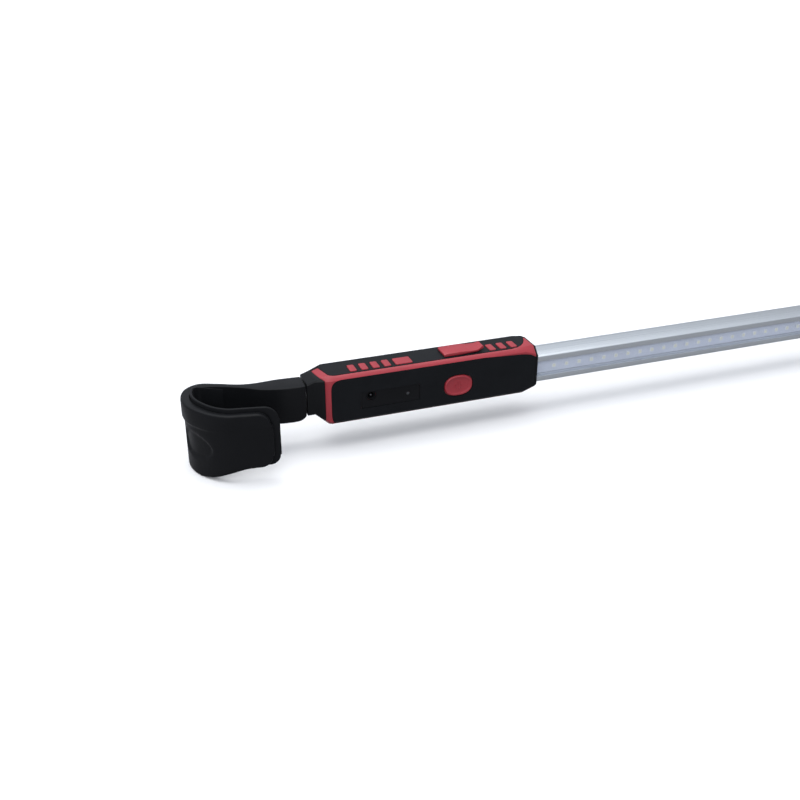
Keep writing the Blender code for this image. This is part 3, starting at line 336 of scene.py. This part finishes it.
def turned(profile, centre, along, segments=48, lobes=0.0, bm=None):
    """A solid of revolution from (distance, radius) pairs along an axis; lobes wave its socket."""
    along = Vector(along)
    side = along.orthogonal().normalized()
    up = along.cross(side)
    rings = []
    for distance, radius, *wave in profile:
        ring = []
        for k in range(segments):
            angle = 2 * math.pi * k / segments
            reach = radius * (1 + (lobes * math.cos(6 * angle) if wave else 0.0))
            spoke = side * math.cos(angle) + up * math.sin(angle)
            ring.append(Vector(centre) + along * distance + spoke * reach)
        rings.append(ring)
    return skin(rings, bm)


def block(low, high, bm=None):
    bm = bm or bmesh.new()
    low, high = Vector(low), Vector(high)
    place = Matrix.Translation((low + high) / 2) @ Matrix.Diagonal((*(high - low), 1))
    bmesh.ops.create_cube(bm, size=1, matrix=place)
    return bm


def finished(name, bm, slot, body, replaced=(), finish=None, sharp=35):
    """A piece of the model from a bmesh: its material, its body and the CAD nodes it stands for."""
    bmesh.ops.recalc_face_normals(bm, faces=bm.faces)
    mesh = bpy.data.meshes.new(name)
    bm.to_mesh(mesh)
    bm.free()
    mesh.materials.append(finish or MATERIALS[slot])
    mesh.shade_smooth()
    mesh.set_sharp_from_angle(angle=math.radians(sharp))
    made = bpy.data.objects.new(name, mesh)
    bpy.context.scene.collection.objects.link(made)
    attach(made, body)
    if replaced:
        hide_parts(*replaced)
    return made


def carve(bm, *cutters):
    """A bmesh less some others, by exact Booleans."""
    solids = []
    for shape in (bm, *cutters):
        bmesh.ops.recalc_face_normals(shape, faces=shape.faces)
        mesh = bpy.data.meshes.new("carving")
        shape.to_mesh(mesh)
        shape.free()
        solid = bpy.data.objects.new("carving", mesh)
        bpy.context.scene.collection.objects.link(solid)
        solids.append(solid)
    for cutter in solids[1:]:
        cut = solids[0].modifiers.new("cut", "BOOLEAN")
        cut.operation = "DIFFERENCE"
        cut.object = cutter
    bpy.context.view_layer.update()
    graph = bpy.context.evaluated_depsgraph_get()
    result = bpy.data.meshes.new_from_object(solids[0].evaluated_get(graph))
    for solid in solids:
        bpy.data.objects.remove(solid)
    carved = bmesh.new()
    carved.from_mesh(result)
    return carved


def ease(value, start, end):
    """0 at start and 1 at end, with level ends."""
    t = min(1.0, max(0.0, (value - start) / (end - start)))
    return t * t * (3 - 2 * t)


# ---------------------------------------------------------------- hooks
# Each station: outer (u, y), inner (u, y), top, bottom, belt and the belt's lower edge,
# with u outwards from the collar face and the rest from the bar's axis.
HOOK_TOP, HOOK_FLOOR = 0.0144, -0.043
HOOK_STATIONS = [
    (0.0010, 0.0098, 0.0010, -0.0096, HOOK_TOP, -0.0122, 0.0, -0.010),
    (0.0060, 0.0104, 0.0060, -0.0100, HOOK_TOP, -0.0152, 0.0, -0.012),
    (0.0200, 0.0112, 0.0180, -0.0086, HOOK_TOP, -0.0160, 0.0, -0.012),
    (0.0380, 0.0104, 0.0350, -0.0034, HOOK_TOP, -0.0165, 0.0002, -0.012),
    (0.0500, 0.0119, 0.0470, 0.0043, HOOK_TOP, -0.0190, 0.0010, -0.0105),
    (0.0640, 0.0176, 0.0618, 0.0117, HOOK_TOP, -0.0270, 0.0018, -0.0075),
    (0.0780, 0.0217, 0.0764, 0.0162, HOOK_TOP, -0.0375, 0.0023, -0.0045),
    (0.0888, 0.0163, 0.0845, 0.0125, HOOK_TOP, HOOK_FLOOR, 0.0018, -0.0010),
    (0.0936, 0.0041, 0.0882, 0.0030, HOOK_TOP, HOOK_FLOOR, 0.0016, 0.0000),
    (0.0930, -0.0082, 0.0877, -0.0066, HOOK_TOP, HOOK_FLOOR, 0.0014, 0.0000),
    (0.0886, -0.0193, 0.0840, -0.0163, HOOK_TOP, HOOK_FLOOR, 0.0010, 0.0005),
    (0.0801, -0.0309, 0.0768, -0.0270, HOOK_TOP, -0.0400, 0.0005, 0.0010),
    (0.0690, -0.0388, 0.0670, -0.0342, HOOK_TOP, -0.0350, 0.0002, 0.0020),
    (0.0570, -0.0418, 0.0562, -0.0368, HOOK_TOP, -0.0318, 0.0, 0.0030),
    (0.0470, -0.0438, 0.0463, -0.0388, HOOK_TOP, -0.0310, 0.0, 0.0030),
]
TONGUE_SLOPE = 0.24             # sideways run of the straight tongue for each unit along it
# How the tongue and its liner end: how far in they reach, the radii of their upper and lower
# corners, and how much lower they get on the way.
TONGUE_END = (0.0372, 0.0098, 0.0088, -0.0004)
LINER_RUN_OUT = (0.0418, 0.0, 0.0, 0.0018)
LINER_END = (0.0312, 0.0104, 0.0084, 0.0)
LINER_START = 5                 # the station on the arm's inner face where the liner begins
LINER_THICKNESS, LINER_PROUD = 0.0019, 0.0032
LINER_THIN = 0.0006             # its thickness where it begins
LINER_SUNK = 0.0052             # how much lower its rims begin
LINER_EASE = 24                 # sections over which it comes up from there
BORE_DEPTH = 0.0215             # of the rod's bore in the hook
GRUB_PLACE = 0.012              # of the hook's grub screw, from the collar face
DISH_Y, DISH_Z = -0.0150, -0.0168      # the oval dish in the bend's outer side, seen end on
DISH_HALF_WIDTH, DISH_HALF_HEIGHT, DISH_DEPTH = 0.0172, 0.0108, 0.0014
DISH_REACH = 0.074              # it is only on the wall further out than this
SIDE_ROWS = 22                  # rows of points down the outer side, fine enough for the dish


def section(station):
    """A station's outer and inner points and the unit vector from the inner to the outer."""
    outer, inner = Vector(station[0:2]), Vector(station[2:4])
    return outer, inner, (outer - inner).normalized()


def shell_ring(place, station, drawn_in=0.0):
    """One section of the hook's shell: soft rims, a belt with a soft lower step, the dish."""
    outer, inner, across = section(station)
    top, bottom, belt, belt_low = station[4:8]
    width = (outer - inner).length
    bottom = max(bottom, HOOK_FLOOR)
    belt_low = max(belt_low, bottom + 0.004)
    corners = [(0.0, top, 0.0008), (width + belt, top, 0.0018), (width + belt, belt_low, 0.0009),
               (width, belt_low - 0.0016, 0.0009), (width, bottom, 0.0022), (0.0, bottom, 0.0012)]
    points = rounded(corners, 4)
    # the side between the belt's step and the bottom corner is filled with rows
    step_end = 4 * 5
    high, low = points[step_end - 1], points[step_end]
    rows = [high.lerp(low, k / SIDE_ROWS) for k in range(1, SIDE_ROWS)]
    points = points[:step_end] + rows + points[step_end:]
    centre = Vector((width / 2, (top + bottom) / 2))
    ring = []
    for across_by, z in points:
        if drawn_in:
            across_by += math.copysign(min(drawn_in, width / 2), centre.x - across_by)
            z += math.copysign(drawn_in, centre.y - z)
        spot = inner + across * across_by
        if across_by > width / 2:
            away = math.hypot((spot.y - DISH_Y) / DISH_HALF_WIDTH, (z - DISH_Z) / DISH_HALF_HEIGHT)
            if spot.x > DISH_REACH:
                spot -= across * DISH_DEPTH * (1 - ease(away, 0.86, 1.0))
        ring.append(place(spot.x, spot.y, z))
    return ring


def liner_ring(place, station, thickness, lip, drawn_in=0.0):
    """One section of the liner, which backs on the shell's inner face."""
    outer, inner, across = section(station)
    top, bottom = station[4:6]
    low, high = max(bottom + 0.0012, HOOK_FLOOR + 0.0016) - lip, top + LINER_PROUD + lip
    soft = 0.48 * thickness
    inset = min(drawn_in, 0.4 * thickness)
    corners = [(-GAP - inset, high - drawn_in, soft), (-GAP - inset, low + drawn_in, soft),
               (-GAP - thickness + inset, low + drawn_in, soft),
               (-GAP - thickness + inset, high - drawn_in, soft)]
    return [place(*(inner + across * across_by), z) for across_by, z in rounded(corners, 5)]


def corner(share):
    """The rise of a quarter circle of radius 1 at this share of its run."""
    return 1 - math.sqrt(max(0.0, 1 - min(1.0, max(0.0, share)) ** 2))


def tip_stations(start, tip, top_radius, bottom_radius, drop, steps=16):
    """Stations on from a straight station to a tip whose upper and lower corners are arcs."""
    stations = []
    run = start[0] - tip
    for k in range(1, steps + 1):
        back = run * math.sin(math.pi / 2 * k / steps)
        u = start[0] - back
        top = start[4] - top_radius * corner(1 - (run - back) / max(top_radius, 0.001))
        bottom = start[5] + bottom_radius * corner(1 - (run - back) / max(bottom_radius, 0.001))
        bottom -= drop * back / run
        aside = TONGUE_SLOPE * back
        place = (u, start[1] - aside, start[2] - back, start[3] - aside, top, bottom)
        stations.append(place + tuple(start[6:]))
    return stations


def end_rounding(path, radius, ring_of):
    """Rings that close a path's last station with a quarter-round."""
    last = path[-1]
    ahead = (Vector(last[0:2]) - Vector(path[-2][0:2])).normalized()
    rings = []
    for k in range(1, 5):
        angle = math.pi / 2 * k / 4
        move = ahead * radius * math.sin(angle)
        moved = (last[0] + move.x, last[1] + move.y, last[2] + move.x, last[3] + move.y) + tuple(last[4:])
        rings.append(ring_of(moved, radius * (1 - math.cos(angle))))
    return rings


def hook(side, face, outwards):
    """The hook's moulding and its liner, smooth where the CAD is faceted."""
    def place(u, y, z):
        return (face + outwards * u, AXIS_Y + y, AXIS_Z + z)

    path = smooth_path(HOOK_STATIONS, 12)
    path += tip_stations(path[-1], *TONGUE_END)
    rings = [shell_ring(place, station) for station in path]
    rings += end_rounding(path, 0.0014, lambda station, by: shell_ring(place, station, by))
    bore = turned([(-0.001, ROD_RADIUS + GAP), (BORE_DEPTH, ROD_RADIUS + GAP)],
                  place(0, 0, ROD_AXIS.z - AXIS_Z), (outwards, 0, 0))
    grub_axis = place(GRUB_PLACE, 0, 0)
    way = turned([(-0.02, 0.0018), (0.001, 0.0018)], grub_axis, (0, 0, 1), 32)
    countersink = turned([(-0.02, 0.0030), (-0.0140, 0.0030), (-0.0128, 0.0018)],
                         grub_axis, (0, 0, 1), 32)
    shell = carve(skin(rings), bore, way, countersink)
    finished(f"{side}_hook_shell", shell, "black_plastic", f"{side}_hook",
             [f"{side}_hook_arm"], sharp=50)

    path = smooth_path([station[:6] for station in HOOK_STATIONS[LINER_START:]], 10)
    path += tip_stations(path[-1], *LINER_RUN_OUT, steps=3)
    path += tip_stations(path[-1], *LINER_END)
    rings = []
    for i, station in enumerate(path):
        begun = ease(i, 0, LINER_EASE)
        thickness = LINER_THIN + (LINER_THICKNESS - LINER_THIN) * begun
        rings.append(liner_ring(place, station, thickness, LINER_SUNK * (begun - 1)))
    rings += end_rounding(path, 0.0008,
                          lambda station, by: liner_ring(place, station, LINER_THICKNESS, 0.0, by))
    finished(f"{side}_liner", skin(rings), "liner_rubber", f"{side}_hook",
             [f"{side}_hook_liner"], sharp=60)

    low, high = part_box(f"{side}_hook_screw")
    grub = [(0.0, 0.0, 1), (0.0016, 0.0007, 1), (0.0016, 0.0008, 1), (0.0, 0.0009, 1), (0.0, 0.0013),
            (0.0003, 0.0015), (high.z - low.z, 0.0015), (high.z - low.z, 0.0)]
    profile = [(distance, max(radius, 0.00002), *wave) for distance, radius, *wave in grub]
    screw = turned(profile, (grub_axis[0], AXIS_Y, low.z), (0, 0, 1), 36, 0.14)
    finished(f"{side}_grub_screw", screw, "steel", f"{side}_hook", [f"{side}_hook_screw"])


# ---------------------------------------------------------------- rods, screws and jack
def rod(side, outwards):
    """The tubular rod, round and smooth, with its grooves and chamfered tip."""
    low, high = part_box(f"{side}_rod")
    tip, tail = (low.x, high.x) if outwards < 0 else (high.x, low.x)
    length, r, groove = abs(tail - tip), ROD_RADIUS, 0.003
    profile = [(0.0, 0.0001), (0.0, r - 0.0006), (0.0002, r - 0.00025), (0.0006, r), (0.0020, r),
               (0.0021, groove), (0.0039, groove), (0.0040, r), (0.0061, r), (0.0062, groove),
               (0.0098, groove), (0.0099, r), (length - 0.0003, r), (length, r - 0.0003),
               (length, 0.0027), (length - 0.0003, 0.0024), (0.0140, 0.0024), (0.0140, 0.0001)]
    tube = turned(profile, (tip, ROD_AXIS.y, ROD_AXIS.z), (-outwards, 0, 0), 56)
    finished(f"{side}_telescopic_rod", tube, "steel", f"{side}_rod", [f"{side}_rod"])


def pan_screw(node):
    """A pan head with a six-lobed socket, in place of a faceted screw."""
    low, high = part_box(node)
    centre = (low + high) / 2
    head = (high.x - low.x) / 2 * 1.04
    length = high.y - low.y
    profile = [(0.0, 0.0001), (0.0002, 0.0012), (0.0006, 0.0015), (length - 0.0014, 0.0015),
               (length - 0.0013, head), (length - 0.0008, head), (length - 0.0003, head * 0.88),
               (length, head * 0.62), (length - 0.0001, 0.00135, 1), (length - 0.0008, 0.0012, 1),
               (length - 0.0009, 0.0001)]
    screw = turned(profile, (centre.x, low.y, centre.z), (0, 1, 0), 42, 0.13)
    finished(f"{node}_torx", screw, "steel", "root", [node])


def charge_socket():
    """The jack's barrel with a rolled rim and its centre pin with a domed tip."""
    low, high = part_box("charge_jack")
    x, z = middle("charge_jack").x, middle("charge_jack").z
    depth, outer, inner = high.y - low.y, 0.0038, 0.0028
    profile = [(depth, 0.0001), (depth, outer), (0.0003, outer), (0.00008, outer - 0.0002),
               (0.0, outer - 0.0004), (0.00008, inner + 0.0002), (0.0004, inner),
               (depth - 0.0008, inner), (depth - 0.0008, 0.0001)]
    barrel = turned(profile, (x, low.y, z), (0, 1, 0))
    finished("charge_jack_barrel", barrel, "black_plastic", "root", ["charge_jack"])
    low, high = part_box("jack_pin")
    depth = high.y - low.y
    profile = [(0.0, 0.0001), (0.0001, 0.0005), (0.0004, 0.0009), (0.0007, 0.001),
               (depth, 0.001), (depth, 0.0001)]
    pin = turned(profile, (x, low.y, z), (0, 1, 0), 32)
    # the pin's dark finish is painted shade of the jack's hollow
    finished("jack_centre_pin", pin, "steel", "root", ["jack_pin"], PIN_PAINTED_SHADE)


# ---------------------------------------------------------------- button
def super_oval(half_length, half_height, count=72, squareness=2.35):
    points = []
    for k in range(count):
        angle = 2 * math.pi * k / count
        c, s = math.cos(angle), math.sin(angle)
        points.append((half_length * math.copysign(abs(c) ** (2 / squareness), c),
                       half_height * math.copysign(abs(s) ** (2 / squareness), s)))
    return points


def power_button():
    """A soft-edged push button: a raised rim round a dished face with a plain on-off mark."""
    low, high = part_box("power_button")
    centre = middle("power_button")
    half_length, half_height = 0.012, 0.0088
    front = low.y
    # (y, growth of the outline) from the flange at the back, over the rim and into the dish
    steps = [(high.y, 0.0012), (high.y - 0.0008, 0.0012), (high.y - 0.0008, 0.0),
             (front + 0.0009, 0.0), (front + 0.0004, -0.00015), (front + 0.0001, -0.0005),
             (front, -0.0009), (front + 0.00005, -0.0014), (front + 0.0003, -0.0018),
             (front + 0.00055, -0.0022), (front + 0.0007, -0.0032), (front + 0.0009, -0.0055),
             (front + 0.00095, -0.0080)]
    rings = []
    for y, grow in steps:
        oval = super_oval(half_length + grow, half_height + grow)
        rings.append([(centre.x + a, y, centre.z + b) for a, b in oval])
    finished("button_cap", skin(rings), "red_plastic", "power_button", ["power_button"], sharp=40)
    face, radius, wire = front + 0.00085, 0.0026, 0.00038
    bm = bmesh.new()
    start, turn = math.radians(125), math.radians(290)     # leaves a gap at the top
    route = [Vector((centre.x + radius * math.cos(start + turn * k / 40), face,
                     centre.z + radius * math.sin(start + turn * k / 40))) for k in range(41)]
    strokes = [route, [Vector((centre.x, face, centre.z + h)) for h in (0.0006, 0.0020, 0.0034)]]
    for stroke in strokes:
        rings = []
        for k, spot in enumerate(stroke):
            ahead = (stroke[min(k + 1, len(stroke) - 1)] - stroke[max(k - 1, 0)]).normalized()
            inwards = Vector((0, 1, 0))
            side = ahead.cross(inwards)
            rings.append([spot + side * wire * math.cos(a) + inwards * wire * 0.8 * math.sin(a)
                          for a in (math.pi / 4 * n for n in range(8))])
        skin(rings, bm)
    finished("button_mark", bm, "red_plastic", "power_button")


# ---------------------------------------------------------------- LED strip
BAR_INSERT = 0.028              # how far the light bar reaches into each housing
FIRST_LED, LED_PITCH, LED_COUNT = 0.0188, 0.012, 56
LED_FACE = 0.0009               # of a package over its board
SEAT = 0.00005                  # between the board and what is soldered on it


def led_strip():
    """The board with its packages, the phosphor in each and a resistor between pairs."""
    low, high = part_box("led_board")
    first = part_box("bar_extrusion")[0].x + BAR_INSERT + FIRST_LED
    z = (low.z + high.z) / 2
    face = high.y - 0.0010
    board = block((low.x, face, low.z), high)
    bmesh.ops.bevel(board, geom=list(board.edges), offset=0.00015, segments=2, affect="EDGES")
    finished("strip_board", board, "white_board", "root", ["led_board"])
    packages, dies, resistors = bmesh.new(), bmesh.new(), bmesh.new()
    for i in range(LED_COUNT):
        x = first + i * LED_PITCH
        body = bmesh.new()
        block((x - 0.00175, face - LED_FACE, z - 0.0018), (x + 0.00175, face - SEAT, z + 0.0018), body)
        bmesh.ops.bevel(body, geom=list(body.edges), offset=0.00018, segments=2, affect="EDGES")
        mesh = bpy.data.meshes.new("package")
        body.to_mesh(mesh)
        body.free()
        packages.from_mesh(mesh)
        bpy.data.meshes.remove(mesh)
        dome = [(0.0, 0.00145), (0.00010, 0.00138), (0.00016, 0.0009), (0.00018, 0.0001)]
        turned(dome, (x, face - 0.00088, z), (0, -1, 0), 20, bm=dies)
        if i % 2:
            between = x + LED_PITCH / 2
            block((between - 0.001, face - 0.0004, z - 0.0006),
                  (between + 0.001, face - SEAT, z + 0.0006), resistors)
    finished("led_packages", packages, "white_board", "root", finish=LED_CASE)
    finished("led_phosphors", dies, "white_board", "root", finish=PHOSPHOR)
    finished("strip_resistors", resistors, "white_board", "root")


for side, face, outwards in (("left", LEFT_FACE, -1), ("right", RIGHT_FACE, 1)):
    hook(side, face, outwards)
    rod(side, outwards)
for node in sorted(NODES):
    if "_screw" in node and "hook" not in node:
        pan_screw(node)
charge_socket()
power_button()
led_strip()


# ---------------------------------------------------------------- CAD nodes that stay
# flat plates with holes through them: a bevel shades these unevenly, so their edges stay crisp
PIERCED = ("handle_top_panel", "end_top_panel", "handle_front_panel", "port_plate")


def soften(node, width):
    """Breaks a CAD node's sharp edges: its corners are welded, its flats joined, then bevelled."""
    made = NODES[node]
    weld = made.modifiers.new("weld", "WELD")
    weld.merge_threshold = 0.000002
    flat = made.modifiers.new("flats", "DECIMATE")
    flat.decimate_type = "DISSOLVE"
    flat.angle_limit = math.radians(0.5)
    edge = made.modifiers.new("broken_edges", "BEVEL")
    edge.width = width
    edge.segments = 2
    edge.limit_method = "ANGLE"
    edge.angle_limit = math.radians(28)
    edge.harden_normals = True
    edge.miter_outer = "MITER_ARC"


EDGE_WIDTHS = {
    "handle_casing_front": 0.0006, "handle_casing_rear": 0.0006,
    "end_casing_front": 0.0006, "end_casing_rear": 0.0006,
    "handle_rear_panel": 0.0004,
    "handle_bottom_panel": 0.0004,
    "end_front_panel": 0.0004, "end_rear_panel": 0.0004,
    "end_bottom_panel": 0.0004,
    "handle_bars_outer": 0.0003, "handle_bars_inner": 0.0003, "end_bars": 0.0003,
    "handle_bezel": 0.0004, "end_bezel": 0.0004,
    "left_collar": 0.0005, "right_collar": 0.0005,
    "bar_extrusion": 0.00025, "lock_lever": 0.0005,
    "control_board": 0.0001, "tact_switch": 0.0002, "lock_shoe": 0.0003,
}

for node, made in NODES.items():
    made.data.materials.clear()
    made.data.materials.append(OWN_FINISH.get(node, MATERIALS[SLOT_OF[node]]))
    made.data.shade_smooth()
    made.data.set_sharp_from_angle(angle=math.radians(1 if node in PIERCED else 35))
    if node in EDGE_WIDTHS:
        soften(node, EDGE_WIDTHS[node])


# ---------------------------------------------------------------- stage, light and camera
def stage():
    """A pale floor that runs out of sight. It looks pale to the camera and throws back less."""
    mesh = bpy.data.meshes.new("floor")
    side = 30.0
    corners = [(-side, -side, 0), (side, -side, 0), (side, side, 0), (-side, side, 0)]
    mesh.from_pydata(corners, [], [(0, 1, 2, 3)])
    floor = bpy.data.objects.new("floor", mesh)
    bpy.context.scene.collection.objects.link(floor)
    paint = Paint("pale_floor", Roughness=0.9, Specular_IOR_Level=0.1)
    path = paint.add("ShaderNodeLightPath").outputs["Is Camera Ray"]
    paint.colour(paint.mix(path, (0.30, 0.30, 0.31), (0.93, 0.93, 0.93)))
    mesh.materials.append(paint.material)


def surroundings():
    """A soft world: bright overhead and dimmer at the sides, plain white where it is seen."""
    world = bpy.data.worlds.new("studio")
    bpy.context.scene.world = world
    world.use_nodes = True
    tree = world.node_tree
    background = tree.nodes["Background"]
    place = tree.nodes.new("ShaderNodeTexCoord")
    split = tree.nodes.new("ShaderNodeSeparateXYZ")
    tree.links.new(place.outputs["Generated"], split.inputs["Vector"])
    ramp = tree.nodes.new("ShaderNodeValToRGB")
    ramp.color_ramp.elements[0].position = 0.0
    ramp.color_ramp.elements[0].color = (0.30, 0.31, 0.33, 1)
    ramp.color_ramp.elements[1].position = 0.75
    ramp.color_ramp.elements[1].color = (0.80, 0.84, 0.92, 1)
    tree.links.new(split.outputs["Z"], ramp.inputs["Fac"])
    seen = tree.nodes.new("ShaderNodeLightPath")
    mix = tree.nodes.new("ShaderNodeMix")
    mix.data_type = "RGBA"
    mix.inputs[7].default_value = (1.0, 1.0, 1.0, 1)
    tree.links.new(seen.outputs["Is Camera Ray"], mix.inputs["Factor"])
    tree.links.new(ramp.outputs["Color"], mix.inputs[6])
    tree.links.new(mix.outputs[2], background.inputs["Color"])


def softbox(name, place, target, size, power):
    light = bpy.data.lights.new(name, "AREA")
    light.shape = "RECTANGLE"
    light.size, light.size_y = size
    light.energy = power
    lamp = bpy.data.objects.new(name, light)
    bpy.context.scene.collection.objects.link(lamp)
    lamp.location = place
    lamp.rotation_euler = (Vector(target) - Vector(place)).to_track_quat("-Z", "Y").to_euler()


def camera():
    """The viewpoint: in front of the left end and above it, with a 45 mm lens."""
    data = bpy.data.cameras.new("camera")
    data.lens = 45
    data.sensor_width = 36
    made = bpy.data.objects.new("camera", data)
    bpy.context.scene.collection.objects.link(made)
    made.location = (-0.6469, -0.6768, 0.3960)
    made.rotation_euler = (math.radians(63.24), 0, math.radians(-19.88))
    bpy.context.scene.camera = made


def sky_panel(name, direction, strength, spread):
    """A very wide, very distant panel: even light with soft shadows and no falloff."""
    light = bpy.data.lights.new(name, "SUN")
    light.energy = strength
    light.angle = math.radians(spread)
    lamp = bpy.data.objects.new(name, light)
    bpy.context.scene.collection.objects.link(lamp)
    lamp.rotation_euler = Vector(direction).to_track_quat("-Z", "Y").to_euler()


stage()
surroundings()
sky_panel("overhead", (0.15, -0.10, -1.0), 1.75, 60)
sky_panel("over_the_shoulder", (0.20, 0.75, -0.75), 0.45, 25)
softbox("front_fill", (-1.4, -1.5, 0.9), (-0.2, 0, 0.04), (1.0, 1.0), 6)
camera()
bpy.context.scene.view_settings.view_transform = "Standard"
